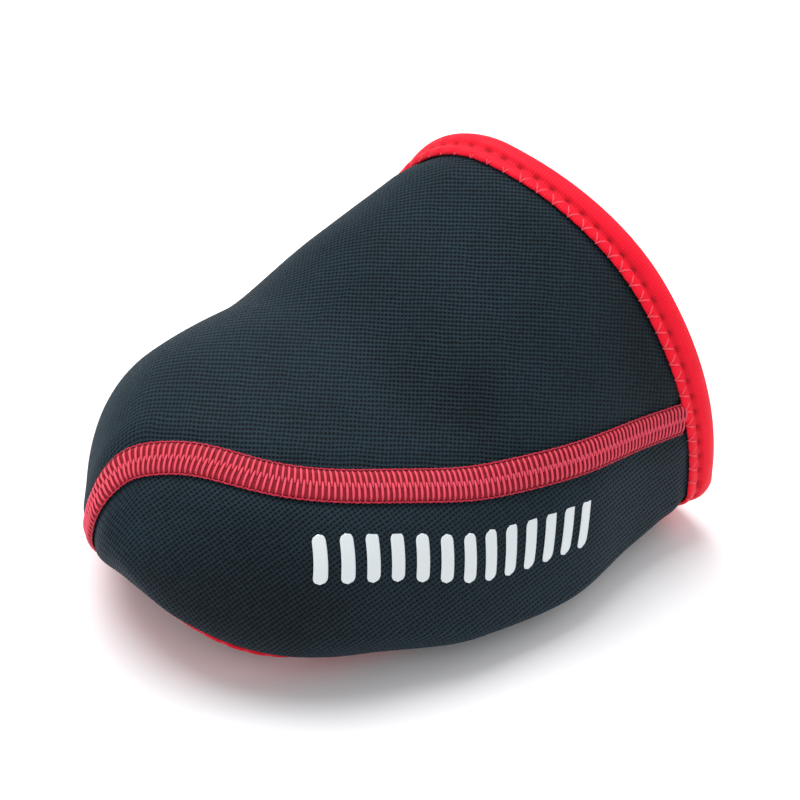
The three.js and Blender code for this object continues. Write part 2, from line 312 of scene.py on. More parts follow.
def skin_point(y, turn, off):
    """The point that stands off the creased skin by off."""
    out = slopes(y, turn)[2]
    lift = np.asarray(off, float) + soft_spots(FOLDS, y, turn)
    point = last_point(y, turn) + out * lift[..., None]
    point[..., 2] = np.maximum(point[..., 2], 0)  # what stands on the floor is pressed flat
    return point


def beside(place, into_fabric):
    """Points that lie inset into the fabric from a path, and off the skin."""

    def point(s, inset, off):
        step = 1e-3
        y, turn = place(s)
        run = last_point(*place(s + step)) - last_point(*place(s - step))
        into = into_fabric * unit(np.cross(slopes(y, turn)[2], run))
        aim = last_point(y, turn) + into * np.asarray(inset, float)[..., None]
        return skin_point(*nearest_place(y, turn, aim), off)

    return point


beside_collar = beside(by_length(collar_place, closed=True), -1)
beside_window = beside(by_length(window_place, closed=True), 1)
beside_seam = beside(by_length(eased(seam_place, SEAM_EASE), closed=False), 1)


def points_along(beside_path, count):
    s = np.linspace(0, 1, count)
    return beside_path(s, 0 * s, 0 * s)


seam_length, collar_length, window_length = [
    arc_lengths(points_along(path, 400))[-1] for path in (beside_seam, beside_collar, beside_window)
]
print("Lengths in mm: seam %.0f, collar %.0f, window %.0f" % (seam_length, collar_length, window_length))


# %% [markdown]
# The CAD model stands over the origin, while the last starts at its toe tip. The two are lined up
# once, by the neoprene's box, and every piece is then moved by the same step.

# %% Lining up with the CAD model
turns, depths = np.meshgrid(np.linspace(0, 2 * np.pi, 361), np.linspace(0, 1, 200))
outline = last_point(depths * collar_place(turns / (2 * np.pi))[0], turns).reshape(-1, 3)
low, high = [np.array(corner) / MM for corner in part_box("upper")]
SHIFT = (low + high) / 2 - (outline.min(0) + outline.max(0)) / 2
SHIFT[2] = 0
print("Shift in mm:", SHIFT.round(2))


# %% [markdown]
# Every soft piece starts as Blender's own grid. It is laid on the last vertex by vertex, closed into
# a tube where its two sides meet, and turned to face outwards. The grid brings a UV map along, so a
# weave can follow the piece.

# %% Laying a grid on the last
CAP_SIDES = 40  # an open end with no more sides than this is closed by one flat face


def only(piece):
    bpy.ops.object.select_all(action="DESELECT")
    piece.select_set(True)
    bpy.context.view_layer.objects.active = piece


def apply_modifier(piece, name, kind, **settings):
    only(piece)
    modifier = piece.modifiers.new(name, kind)
    for key, value in settings.items():
        setattr(modifier, key, value)
    bpy.ops.object.modifier_apply(modifier=name)


def read(collection, name, width, kind=float):
    """A row of values, width wide, from each member of a mesh's collection."""
    values = np.empty(len(collection) * width, kind)
    collection.foreach_get(name, values)
    return values.reshape(-1, width)


def read_points(piece):
    return read(piece.data.vertices, "co", 3)


def write_points(piece, points):
    piece.data.vertices.foreach_set("co", np.ascontiguousarray(points, float).ravel())
    piece.data.update()


def faced_outwards(piece, closed=False):
    """Closes a piece, if asked to, turns its faces outwards and shades it smooth."""
    only(piece)
    bpy.ops.object.mode_set(mode="EDIT")
    bpy.ops.mesh.select_all(action="SELECT")
    if closed:
        bpy.ops.mesh.remove_doubles(threshold=1e-6)
        bpy.ops.mesh.fill_holes(sides=CAP_SIDES)
    bpy.ops.mesh.normals_make_consistent(inside=False)
    bpy.ops.object.mode_set(mode="OBJECT")
    bpy.ops.object.shade_smooth()
    return piece


def laid_grid(name, columns, rows, place, closed=False, painted_shade=None):
    """A grid whose u runs 0 to 1 over columns and v over rows, each vertex laid at place(u, v).
    Its last argument, if given, is a function of u and v whose values are kept on the mesh, as painted
    shade for a material that darkens where they are high."""
    bpy.ops.object.select_all(action="DESELECT")
    bpy.ops.mesh.primitive_grid_add(
        x_subdivisions=columns, y_subdivisions=rows, size=1, calc_uvs=True, enter_editmode=False
    )
    piece = bpy.context.object
    piece.name = piece.data.name = name
    flat = read_points(piece)
    u, v = flat[:, 0] + 0.5, flat[:, 1] + 0.5
    write_points(piece, (place(u, v) + SHIFT) * MM)
    if painted_shade:
        piece.data.attributes.new("painted_shade", "FLOAT", "POINT").data.foreach_set("value", painted_shade(u, v))
    faced_outwards(piece, closed)
    print("%s: %d faces" % (name, len(piece.data.polygons)))
    return piece


# %% [markdown]
# The neoprene is a sleeve between two edges, the window and the collar. Its grid runs round the
# sleeve one way and from the window to the collar the other way. In between, points are blended on
# a flat map of the foot, where the toe tip is the middle and the sole is below it. On that map the
# toe tip is an ordinary point, so no pole shows there.
# It could be shrink-wrapped on the CAD node, but a formula keeps both edges exactly on their paths.

# %% The neoprene's outer face
AROUND = 250
LENGTHWISE = 104
# Beside a sewn edge the neoprene is pinched, and swollen a little farther on: how much, how far from
# the edge, and over what width
PINCH, PINCH_AT, PINCH_WIDTH = 0.3, 0.3, 1.1
SWELL, SWELL_AT, SWELL_WIDTH = 0.35, 4.5, 3.0
# Painted shade: soft spots where the knit is painted darker for the shade in its creases and hollows, in
# rows as for the folds
PAINTED_SHADE_SPOTS = [
    (64, 26, 6, 9, 0.3),
    (71, 39, 6, 10, 0.45),
    (121, 48, 15, 34, 0.85),
    (13, 88, 17, 34, 0.9),
]


def to_map(y, turn):
    away = np.sqrt(y / COVER_LENGTH)
    return np.stack([away * np.sin(turn), away * np.cos(turn)], axis=-1)


def from_map(p):
    return (p**2).sum(-1) * COVER_LENGTH, np.arctan2(p[..., 0], p[..., 1])


def sleeve_map(u, v):
    collar_map = to_map(*collar_place(u))
    window_map = to_map(*window_place(u - 0.5))
    return window_map + (collar_map - window_map) * v[..., None]


def nearest_finder(points):
    tree = KDTree(len(points))
    for i, point in enumerate(points):
        tree.insert(point, i)
    tree.balance()

    def find(spots):
        """The number of the nearest point to each spot, and the distance to it."""
        found = [tree.find(spot) for spot in spots]
        return np.array([f[1] for f in found]), np.array([f[2] for f in found])

    return find


seam_points = points_along(beside_seam, 600)
# Each sewn edge: the finder of its path, and how far from the path the edge lies
SEWN_EDGES = [
    (nearest_finder(seam_points), SEAM_WIDTH / 2),
    (nearest_finder(points_along(beside_collar, 600)), COLLAR_TAPE_WIDTH),
    (nearest_finder(points_along(beside_window, 600)), WINDOW_TAPE_WIDTH),
]


def sleeve_point(u, v):
    y, turn = from_map(sleeve_map(u, v))
    smooth = skin_point(y, turn, 0 * y)
    lift = np.zeros(len(smooth))
    for find, edge in SEWN_EDGES:
        gap = find(smooth)[1] - edge
        lift += SWELL * np.exp(-(((gap - SWELL_AT) / SWELL_WIDTH) ** 2))
        lift -= PINCH * np.exp(-(((gap - PINCH_AT) / PINCH_WIDTH) ** 2))
    return skin_point(y, turn, lift)


# Painted shade: how much darker the knit is painted at each point of the sleeve
def painted_shade_at(u, v):
    return np.clip(soft_spots(PAINTED_SHADE_SPOTS, *from_map(sleeve_map(u, v))), 0, 1)


# The sleeve keeps its painted shade on the mesh, for the knit's colour
neoprene = laid_grid("neoprene_sleeve", AROUND, LENGTHWISE, sleeve_point, closed=True, painted_shade=painted_shade_at)


# %% [markdown]
# The sleeve is sewn from two panels, and the knit runs differently on each. On the top panel its rows
# lie level round the toe, and nearly level over the instep. On the side panel they climb to the rear.
# The knit could be unwrapped to a flat pattern, but the real sheet is stretched on the foot, and its
# rows end up lying in planes. So each panel's UV is read off two axes, in millimetres. Where a panel
# turns away from those axes, it is first rolled out flat: the top panel past the ridge, the side
# panel past the toe tip and below the foot's widest line. The rows are bent down where the sheet is
# pulled round the toe's corner.

# %% The knit's run on the two panels
ROW_WAY = np.array([0.688, 0.719, 0.098])  # along a row
ROW_UP = np.array([-0.457, 0.324, 0.828])  # from row to row
TOE_BEND_START = -43  # how far along a row it starts to bend
TOE_BEND_EASE = 8
TOE_BEND_SLOPE = 1.1
UNDERSIDE_START = 15  # behind the toe tip, the side panel's underside starts to be rolled out
UNDERSIDE_EASE = 20
TOP_PANEL_CLIMB = math.radians(-3)
SIDE_PANEL_CLIMB = math.radians(35)
MEASURED_LENGTH = COVER_LENGTH * 1.05
MEASURED_SECTIONS = 160
SECTION_POINTS = 121


def face_values(piece):
    """The middle of each face, on the last in mm, and in the grid's own UV."""
    centres = read(piece.data.polygons, "center", 3) / MM - SHIFT
    sides = read(piece.data.polygons, "loop_total", 1, int)[:, 0]
    uv = read(piece.data.uv_layers.active.data, "uv", 2)
    face_of_corner = np.repeat(np.arange(len(sides)), sides)
    grid_uv = np.stack([np.bincount(face_of_corner, part) / sides for part in uv.T], axis=-1)
    return centres, grid_uv, face_of_corner


def between_rows(table, place):
    """The row of a table before each place, a share from 0 to 1, and how far past it the place is."""
    spot = np.clip(place, 0, 1) * (len(table) - 1)
    i = np.minimum(spot.astype(int), len(table) - 2)
    return i, spot - i


def section_arc(y, turn, side):
    """The way down the skin from the ridge, square to the foot. side is 1 outwards, -1 inwards."""
    depths = np.linspace(0, 1, MEASURED_SECTIONS)[:, None] ** 2 * MEASURED_LENGTH
    section = last_point(depths, np.linspace(0, side * np.pi, SECTION_POINTS)[None, :])
    arcs = arc_lengths(section)
    i, t = between_rows(arcs, np.sqrt(y / MEASURED_LENGTH))
    j, w = between_rows(arcs.T, side * turn / np.pi)
    low = arcs[i, j] * (1 - w) + arcs[i, j + 1] * w
    high = arcs[i + 1, j] * (1 - w) + arcs[i + 1, j + 1] * w
    return low * (1 - t) + high * t


def rolled_from_ridge(points, y, turn):
    """The inner side of the top panel, laid out level with the ridge."""
    ridge = last_point(y, 0 * y)
    out_flat = np.stack([ridge[:, 0] - section_arc(y, turn, -1), y, ridge[:, 2]], axis=-1) + SHIFT
    return np.where((turn < 0)[:, None], out_flat, points)


def rolled_from_girth(points, y, turn):
    """The side panel's underside, laid out straight down from the foot's widest line."""
    widest = last_point(y, 0 * y + np.pi / 2)
    below = section_arc(y, turn, 1) - section_arc(y, 0 * y + np.pi / 2, 1)
    out_flat = np.stack([widest[:, 0], y, widest[:, 2] - below], axis=-1) + SHIFT
    behind_toe = np.clip((y - UNDERSIDE_START) / UNDERSIDE_EASE, 0, 1)
    share = np.where(turn > np.pi / 2, behind_toe**2 * (3 - 2 * behind_toe), 0)
    return points + (out_flat - points) * share[:, None]


def rolled_from_tip(points):
    """The side panel past the toe tip, laid out straight on in plan."""
    depths = np.linspace(0, 1, 400) ** 2 * NOSE_LENGTH
    outline = last_point(depths, 0 * depths - np.pi / 2)[:, :2]
    centre = np.array([outline[0, 0], NOSE_LENGTH])
    away = outline - centre
    bearing = np.arctan2(-away[:, 0], -away[:, 1])
    spoke = points[:, :2] - SHIFT[:2] - centre
    heading = np.arctan2(-spoke[:, 0], -spoke[:, 1])
    sunk = np.interp(heading, bearing, np.linalg.norm(away, axis=1)) - np.linalg.norm(spoke, axis=1)
    past_tip = np.interp(heading, bearing, arc_lengths(outline))
    out_flat = np.stack([centre[0] - past_tip, sunk, points[:, 2]], axis=-1)
    out_flat[:, :2] += SHIFT[:2]
    # The heading is 0 straight ahead, and grows round the tip to the inner side
    return np.where((heading > 0)[:, None] & (heading < np.pi * 0.6)[:, None], out_flat, points)


def on_side_panel(centres, grid_uv):
    """Which faces lie between the seam, down the outer side, and the middle of the strap."""
    under_seam = grid_uv[nearest_finder(centres)(seam_points)[0]]
    seam_u = np.where(under_seam[:, 0] > 0.5, under_seam[:, 0] - 1, under_seam[:, 0])
    order = np.argsort(under_seam[:, 1])
    seam_here = np.interp(grid_uv[:, 1], under_seam[order, 1], seam_u[order])
    strap_middle = 0.5
    return np.mod(grid_uv[:, 0] - seam_here, 1) < strap_middle - seam_here


def lay_knit(piece):
    centres, grid_uv, face_of_corner = face_values(piece)
    on_side = on_side_panel(centres, grid_uv)
    uv_layer = piece.data.uv_layers.active.data
    points = read_points(piece)[read(piece.data.loops, "vertex_index", 1, int)[:, 0]] / MM
    y, turn = from_map(sleeve_map(*read(uv_layer, "uv", 2).T))
    side_corner = on_side[face_of_corner]
    side_flat = rolled_from_tip(rolled_from_girth(points, y, turn))
    points = np.where(side_corner[:, None], side_flat, rolled_from_ridge(points, y, turn))
    u, v = points @ ROW_WAY, points @ ROW_UP
    past = np.clip(TOE_BEND_START - u, 0, None) / TOE_BEND_EASE
    v = v + TOE_BEND_SLOPE * TOE_BEND_EASE * (np.sqrt(1 + past**2) - 1)
    climb = np.where(side_corner, SIDE_PANEL_CLIMB, TOP_PANEL_CLIMB)
    c, s = np.cos(climb), np.sin(climb)
    knit_uv = np.stack([c * u + s * v, c * v - s * u], axis=-1)
    uv_layer.foreach_set("uv", knit_uv.ravel())
    print("Faces on the side panel: %d of %d" % (on_side.sum(), len(on_side)))


lay_knit(neoprene)


# %% [markdown]
# The sleeve gets its wall last. Solidify grows it inwards, and the second material slot becomes the
# lining.

# %% The wall
apply_modifier(
    neoprene, "wall", "SOLIDIFY", thickness=WALL * MM, offset=-1, use_even_offset=False,
    material_offset=1, material_offset_rim=1,
)
only(neoprene)
bpy.ops.object.shade_smooth_by_angle(angle=math.radians(50))
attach(neoprene, "root")
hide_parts("upper")
print("Neoprene with its wall: %d faces" % len(neoprene.data.polygons))


# %% [markdown]
# Binding tape is a strip of stretch knit, folded over the raw edge and sewn through with a zigzag
# stitch. At the collar its outer half stands proud as a soft roll, while the window's tape is pressed
# flat. The stitch draws a trough and small dimples along the inner half. The strip is a grid again:
# once round the edge, and once round the fold.

# %% The binding tapes
STITCH = 4.2  # one zigzag, along the edge
STEPS_PER_ZIGZAG = 10
STEPS_ROUND_FOLD = 72
CHANNEL = 0.58  # where the stitches' outer row sinks in, as a share of the tape's width
INNER_ROW = 0.96
DIMPLE, DIMPLE_WIDTH = 0.5, 0.45  # at the outer row's holes
HOLE, HOLE_WIDTH = 0.12, 0.5  # at the inner row's holes
TROUGH, TROUGH_WIDTH = 0.28, 0.6  # all along the outer row
SCALLOP = 0.13  # the inner edge is drawn out and in by each zigzag
# At this depth of the stitches' dimples, the tape's painted shade is full
FULL_SHADE_DEPTH = 0.9
FULLEST, FULLEST_LENGTH = 0.92, 0.07  # where the roll is fullest, as shares of the way round
COLLAR_ROLL, COLLAR_SWELL = 1.1, 0.8  # how high the roll stands, and how much higher at its fullest


def curve_through(path, v):
    """A smooth curve through the points of a path, for v from 0 to 1."""
    path = np.array(path)
    spot = np.clip(v, 0, 1) * (len(path) - 1)
    i = np.clip(np.floor(spot + 1e-9).astype(int), 0, len(path) - 2)
    return through_four(*[path[np.clip(i + k, 0, len(path) - 1)].T for k in (-1, 0, 1, 2)], spot - i)


def tape_shape(width, zigzags, roll, swell):
    """A function of u and v that gives each vertex's inset, its off, and how deep it is drawn in."""
    # Each row is inset and off. v goes down them round the fold: the outer leg, the nose over the raw
    # edge, the inner leg, and back along the skin.
    skin, under = CLEARANCE * 0.4, -WALL - CLEARANCE * 0.4
    top, bottom = CLEARANCE + TAPE, -WALL - CLEARANCE - TAPE
    mid = (top + bottom) / 2
    nose = -TAPE - CLEARANCE - roll * 0.6
    path = [
        [width - 0.15, skin],
        [width + 0.05, skin + 0.25],
        [width - 0.2, top - 0.3],
        [width * 0.88, top],
        [width * 0.74, top],
        [width * 0.6, top + roll * 0.1],
        [width * 0.47, top + roll * 0.65],
        [width * 0.3, top + roll],
        [width * 0.12, top + roll * 0.95],
        [nose * 0.35, top + roll * 0.5],
        [nose * 0.85, mid + (top - mid) * 0.6],
        [nose, mid],
        [nose * 0.85, mid - (top - mid) * 0.6],
        [nose * 0.35, bottom + 0.1],
        [width * 0.15, bottom],
        [width * 0.5, bottom],
        [width * 0.85, bottom],
        [width, bottom + 0.3],
        [width - 0.1, under],
        [width * 0.5, under],
        [0.3, under],
        [-0.2, mid],
        [0.3, skin],
        [width * 0.5, skin],
        [width - 0.15, skin],
    ]

    def shape(u, v):
        inset, off = curve_through(path, v)
        outer_leg = (off > skin + 0.2) & (inset > nose * 0.5)
        off_fullest = np.mod(u - FULLEST + 0.5, 1) - 0.5
        swollen = 1 + swell * np.exp(-((off_fullest / FULLEST_LENGTH) ** 2))
        off = np.where(outer_leg, skin + (off - skin) * swollen, off)
        swing = 0.5 + 0.5 * np.sin(u * zigzags * 2 * np.pi)
        off_channel, off_inner_row = inset - width * CHANNEL, inset - width * INNER_ROW
        dimples = DIMPLE * np.exp(-((off_channel / DIMPLE_WIDTH) ** 2)) * (1 - swing) ** 3
        holes = HOLE * np.exp(-((off_inner_row / HOLE_WIDTH) ** 2)) * swing**3
        trough = TROUGH * np.exp(-((off_channel / TROUGH_WIDTH) ** 2))
        depth = np.where(outer_leg, dimples + holes + trough, 0)
        edge = np.exp(-(((inset - width) / 0.9) ** 2)) * np.where(outer_leg, 1, 0.4)
        inset = inset - SCALLOP * edge * (2 * swing - 1)
        return inset, off - depth, depth

    return shape


def tape_piece(name, node, beside_edge, length, width, roll, swell):
    zigzags = round(length / STITCH)
    shape = tape_shape(width, zigzags, roll, swell)

    def place(u, v):
        inset, off, _depth = shape(u, v)
        return beside_edge(u, inset, off)

    # Painted shade: the tape is painted darker as deep as it is drawn in
    def painted_shade(u, v):
        return np.clip(shape(u, v)[2] / FULL_SHADE_DEPTH, 0, 1)

    columns = zigzags * STEPS_PER_ZIGZAG
    piece = laid_grid(name, columns, STEPS_ROUND_FOLD, place, closed=True, painted_shade=painted_shade)
    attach(piece, "root")
    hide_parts(node)
    print("%s: %d zigzags of %.2f mm" % (name, zigzags, length / zigzags))
    return piece, zigzags


collar_tape, collar_zigzags = tape_piece(
    "collar_tape", "collar_binding", beside_collar, collar_length, COLLAR_TAPE_WIDTH,
    roll=COLLAR_ROLL, swell=COLLAR_SWELL,
)
window_tape, window_zigzags = tape_piece(
    "window_tape", "window_binding", beside_window, window_length, WINDOW_TAPE_WIDTH,
    roll=0, swell=0,
)


# %% [markdown]
# Sewing thread is modelled once, as one short length, and copied. The base piece is a six-sided
# cylinder, cut into five along its length and pinched at both ends. Each copy is bent along its own
# stretch of the stitch's path. Hundreds of objects with a curve modifier each would be slow, so the
# copies are written as one list of points and faces.

# %% One length of thread
THREAD_SLICES = 5
THREAD_FLATNESS = 0.8
THREAD_PINCH = 0.55
LINE_POINTS = 6  # points on the line that a length of thread follows


def thread_blank(name):
    bpy.ops.object.select_all(action="DESELECT")
    bpy.ops.mesh.primitive_cylinder_add(vertices=6, radius=1, depth=1, end_fill_type="TRIFAN")
    blank = bpy.context.object
    blank.name = blank.data.name = name
    bpy.ops.object.mode_set(mode="EDIT")
    bpy.ops.mesh.select_mode(type="EDGE")
    bpy.ops.mesh.select_all(action="DESELECT")
    bpy.ops.object.mode_set(mode="OBJECT")
    for edge in blank.data.edges:
        a, b = [blank.data.vertices[i].co for i in edge.vertices]
        edge.select = abs(a.z - b.z) > 0.5
    bpy.ops.object.mode_set(mode="EDIT")
    bpy.ops.mesh.subdivide(number_cuts=THREAD_SLICES - 1)
    bpy.ops.mesh.select_mode(type="VERT")
    bpy.ops.object.mode_set(mode="OBJECT")
    print("One length of thread: %d faces" % len(blank.data.polygons))
    points = read_points(blank)
    pinch = np.where(np.abs(points[:, 2]) > 0.49, THREAD_PINCH, 1.0)
    points[:, :2] *= pinch[:, None]
    write_points(blank, points)
    return blank


def laid_threads(name, blank, lines, radius):
    """Copies of the blank in one mesh, one along each line of points in an array of n, k, 3."""
    base = read_points(blank)
    faces = [list(face.vertices) for face in blank.data.polygons]
    along = base[:, 2] + 0.5
    n, k = lines.shape[:2]
    spot = np.clip(along * (k - 1), 0, k - 1 - 1e-9)
    i = spot.astype(int)
    t = (spot - i)[None, :, None]
    centre = lines[:, i] * (1 - t) + lines[:, i + 1] * t
    out = outwards_at(centre)
    side = unit(np.cross(unit(lines[:, i + 1] - lines[:, i]), out))
    points = (
        centre
        + side * (base[:, 0] * radius)[None, :, None]
        + out * (base[:, 1] * radius * THREAD_FLATNESS)[None, :, None]
    )
    points[..., 2] = np.maximum(points[..., 2], 0)
    mesh = bpy.data.meshes.new(name)
    count = len(base)
    all_faces = [[v + count * j for v in face] for j in range(n) for face in faces]
    mesh.from_pydata(((points.reshape(-1, 3) + SHIFT) * MM).tolist(), [], all_faces)
    piece = bpy.data.objects.new(name, mesh)
    bpy.context.collection.objects.link(piece)
    print("%s: %d lengths of thread, %d faces" % (name, n, len(all_faces)))
    return faced_outwards(piece)


# The way out of the skin at points near it, from a coarse map of the last
guide_turns, guide_depths = np.meshgrid(np.linspace(0, 2 * np.pi, 181), np.linspace(0.02, 1.02, 90))
guide_y = guide_depths * collar_place(guide_turns / (2 * np.pi))[0]
guide_points = last_point(guide_y, guide_turns).reshape(-1, 3)
guide_out = slopes(guide_y, guide_turns)[2].reshape(-1, 3)
nearest_guide = nearest_finder(guide_points)


def outwards_at(points):
    return guide_out[nearest_guide(points.reshape(-1, 3))[0]].reshape(points.shape)


blank = thread_blank("thread_blank")

# %% [markdown]
# The flatlock seam: two edges are butted and sewn flat by several needles. What shows is a ladder
# of thread on a darker ground. One row of strands comes down from the upper edge, one comes up from
# the lower, and they lock in a zigzag along the middle. A finer thread runs along each side.

# %% The flatlock seam
STRAND_PITCH = 1.3
STRAND_LEAN = 0.14  # of a pitch, from one end to the other
STRAND_OVERLAP = 0.55  # how far past the middle a strand reaches
STRAND_BULGE = 0.22
STRAND_RADIUS = 0.28
EDGE_STITCH = 2.4
EDGE_THREAD_RADIUS = 0.2
GROUND_COLUMNS, GROUND_ROWS = 220, 28
SEAM_START, SEAM_RUN = 0.012, 0.985  # the sewn part of the path, which ends under the two tapes
HALF = SEAM_WIDTH / 2


def sewn(share):
    """The place on the seam's path at a share of its sewn part."""
    return np.clip(SEAM_START + SEAM_RUN * share, 0, 1)


def seam_crown(inset):
    """Height of the seam's ground over the skin, lower than the CAD seam since threads lie on it."""
    share = np.clip(np.abs(inset) / HALF, 0, 1)
    return CLEARANCE * 0.5 + (SEAM_HEIGHT + CLEARANCE) * 0.55 * (1 - share**6)


def seam_ground_point(u, v):
    # v crosses over the top from one side to the other, and comes back underneath
    v = np.mod(v, 1)
    over = v < 0.5
    inset = np.where(over, (4 * v - 1) * HALF, (3 - 4 * v) * HALF)
    off = np.where(over, seam_crown(inset), 0.02)
    return beside_seam(sewn(u), inset, off)


seam_ground = laid_grid("seam_ground", GROUND_COLUMNS, GROUND_ROWS, seam_ground_point, closed=True)


def strands(count, start, end, lift, shift):
    """Lines from inset start to inset end, each moved along the seam by shift of a pitch."""
    middles = (np.arange(count) + 0.5) / count
    s, t = np.meshgrid(middles, np.linspace(0, 1, LINE_POINTS), indexing="ij")
    s = s + (shift + STRAND_LEAN * t) * STRAND_PITCH / seam_length
    inset = start + (end - start) * t
    bulge = lift + STRAND_BULGE * np.sin(np.pi * np.clip(t * 1.02, 0, 1)) ** 0.6
    return beside_seam(sewn(s), inset, seam_crown(inset) + bulge - 0.05)


strand_count = round(seam_length / STRAND_PITCH)
upper_strands = strands(strand_count, -HALF + 0.25, STRAND_OVERLAP, 0.08, 0.0)
lower_strands = strands(strand_count, HALF - 0.25, -STRAND_OVERLAP, 0.12, 0.5)
seam_threads = laid_threads(
    "seam_threads", blank, np.concatenate([upper_strands, lower_strands]), STRAND_RADIUS
)


def edge_thread(side):
    """Lengths of thread end to end along one side of the seam, with two small waves in each."""
    count = round(seam_length / EDGE_STITCH)
    starts = np.arange(count) / count
    s, t = np.meshgrid(starts, np.linspace(0, 1, LINE_POINTS), indexing="ij")
    inset = side * (HALF + 0.05 + 0.14 * np.cos(t * 4 * np.pi))
    return beside_seam(sewn(s + t * 1.04 / count), inset, 0 * s + CLEARANCE * 0.5 + 0.2)


seam_edges = laid_threads(
    "seam_edge_threads", blank, np.concatenate([edge_thread(-1), edge_thread(1)]), EDGE_THREAD_RADIUS
)
for piece in (seam_ground, seam_threads, seam_edges):
    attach(piece, "root")
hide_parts("flatlock_seam")


# %% [markdown]
# The tapes' zigzag stitches are the same thread. At one end a stitch dives into a dimple, at the
# other it goes over the tape's edge.

# %% The zigzag stitches
def zigzag_lines(beside_edge, width, zigzags, height):
    """Each stitch crosses from the channel to the tape's inner edge, and the next one comes back."""
    reach = np.linspace(-0.02, 1.02, LINE_POINTS)
    step, t = np.meshgrid(np.arange(zigzags * 2), reach, indexing="ij")
    share = np.where(step % 2 == 0, t, 1 - t)
    s = (step + t - 0.5) / (zigzags * 2)
    inset = width * (CHANNEL + (1.02 - CHANNEL) * share)
    drop = 0.55 * (1 - share) ** 4 + (height - CLEARANCE - 0.1) * share**8
    return beside_edge(s, inset, height - drop + 0.1 * np.sin(np.pi * t))


TAPE_TOP = CLEARANCE + TAPE
collar_lines = zigzag_lines(beside_collar, COLLAR_TAPE_WIDTH, collar_zigzags, TAPE_TOP - 0.12)
window_lines = zigzag_lines(beside_window, WINDOW_TAPE_WIDTH, window_zigzags, TAPE_TOP - 0.28)
collar_stitches = laid_threads("collar_stitches", blank, collar_lines, radius=0.22)
window_stitches = laid_threads("window_stitches", blank, window_lines, radius=0.16)
for piece in (collar_stitches, window_stitches):
    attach(piece, "root")
bpy.data.objects.remove(blank, do_unlink=True)


# %% [markdown]
# The outer side carries a reflective print, so that headlights pick the rider's feet out. Here it is
# a plain hatch of short slanted bars. Each bar is a thin film with round ends, laid on the skin.

# %% The reflective print
BAR_COUNT = 13
BAR_HEIGHT = 10.5
BAR_WIDTH = 3.0
BAR_SLANT = 0.3
BAR_MARGIN = 0.12  # off the skin
FILM_THICKNESS = 0.1
FIRST_BAR = (25, 62)  # y, and turn in degrees
LAST_BAR = (87, 75)


def bar_point(number):
    def point(u, v):
        share = number / (BAR_COUNT - 1)
        middle_y = FIRST_BAR[0] + (LAST_BAR[0] - FIRST_BAR[0]) * share
        middle_turn = math.radians(FIRST_BAR[1] + (LAST_BAR[1] - FIRST_BAR[1]) * share)
        along, around, _out = slopes(np.array(middle_y), np.array(middle_turn))
        rise = (v - 0.5) * BAR_HEIGHT
        radius = BAR_WIDTH / 2
        straight = BAR_HEIGHT / 2 - radius
        cap = np.sqrt(np.clip(radius**2 - np.clip(np.abs(rise) - straight, 0, radius) ** 2, 0, None))
        width = np.where(np.abs(rise) > straight, cap, radius)
        across = (u - 0.5) * 2 * width + BAR_SLANT * rise
        y = middle_y + across / np.linalg.norm(along)
        turn = middle_turn - rise / np.linalg.norm(around)
        return skin_point(y, turn, 0 * y + BAR_MARGIN)

    return point


bars = [laid_grid("print_bar_%d" % i, 8, 24, bar_point(i)) for i in range(BAR_COUNT)]
bpy.ops.object.select_all(action="DESELECT")
for bar in bars:
    bar.select_set(True)
bpy.context.view_layer.objects.active = bars[0]
bpy.ops.object.join()
reflective_print = bpy.context.object
reflective_print.name = reflective_print.data.name = "reflective_print"
bpy.ops.object.mode_set(mode="EDIT")
bpy.ops.mesh.select_all(action="SELECT")
bpy.ops.mesh.remove_doubles(threshold=1e-6)
bpy.ops.object.mode_set(mode="OBJECT")
apply_modifier(reflective_print, "film", "SOLIDIFY", thickness=FILM_THICKNESS * MM, offset=1)
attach(reflective_print, "root")
print("reflective_print: %d bars, %d faces" % (BAR_COUNT, len(reflective_print.data.polygons)))


# %% [markdown]
# Materials are made of nodes. One small function adds a node with its settings and its links, and
# another turns a colour as a designer writes it, in sRGB hex, into the linear values that nodes use.
# Every cloth here ends in the same shader: a matt base under a soft sheen of fuzz.

# %% Helpers for materials
def linear(hex_colour):
    values = [int(hex_colour[i : i + 2], 16) / 255 for i in (1, 3, 5)]
    return [v / 12.92 if v <= 0.04045 else ((v + 0.055) / 1.055) ** 2.4 for v in values] + [1.0]


def new_material(name):
    material = bpy.data.materials.new(name)
    material.use_nodes = True
    material.node_tree.nodes.clear()
    return material


def add(material, kind, settings=None, **inputs):
    """Adds a node. settings are its own properties, inputs its sockets: a value, or a socket to link."""
    node = material.node_tree.nodes.new(kind)
    for key, value in (settings or {}).items():
        setattr(node, key, value)
    for key, value in inputs.items():
        name = key.replace("_", " ")
        socket = node.inputs[int(key[1:])] if key[0] == "i" and key[1:].isdigit() else node.inputs[name]
        if isinstance(value, bpy.types.NodeSocket):
            material.node_tree.links.new(value, socket)
        else:
            socket.default_value = value
    return node


def finish(material, shader):
    output = add(material, "ShaderNodeOutputMaterial")
    material.node_tree.links.new(shader.outputs["BSDF"], output.inputs["Surface"])
    print("Material %s: %d nodes" % (material.name, len(material.node_tree.nodes)))
    return material


def maths(material, operation, a, b=0.0, c=0.0):
    node = add(material, "ShaderNodeMath", {"operation": operation}, i0=a, i1=b, i2=c)
    return node.outputs[0]


def noise(material, where, scale, detail):
    node = add(material, "ShaderNodeTexNoise", Vector=where, Scale=scale, Detail=detail)
    return node.outputs["Fac"]


def mixed(material, share, dark, light):
    """The colour dark where share is 0, and light where it is 1."""
    node = add(material, "ShaderNodeMix", {"data_type": "RGBA"}, i0=share, i6=dark, i7=light)
    return node.outputs[2]


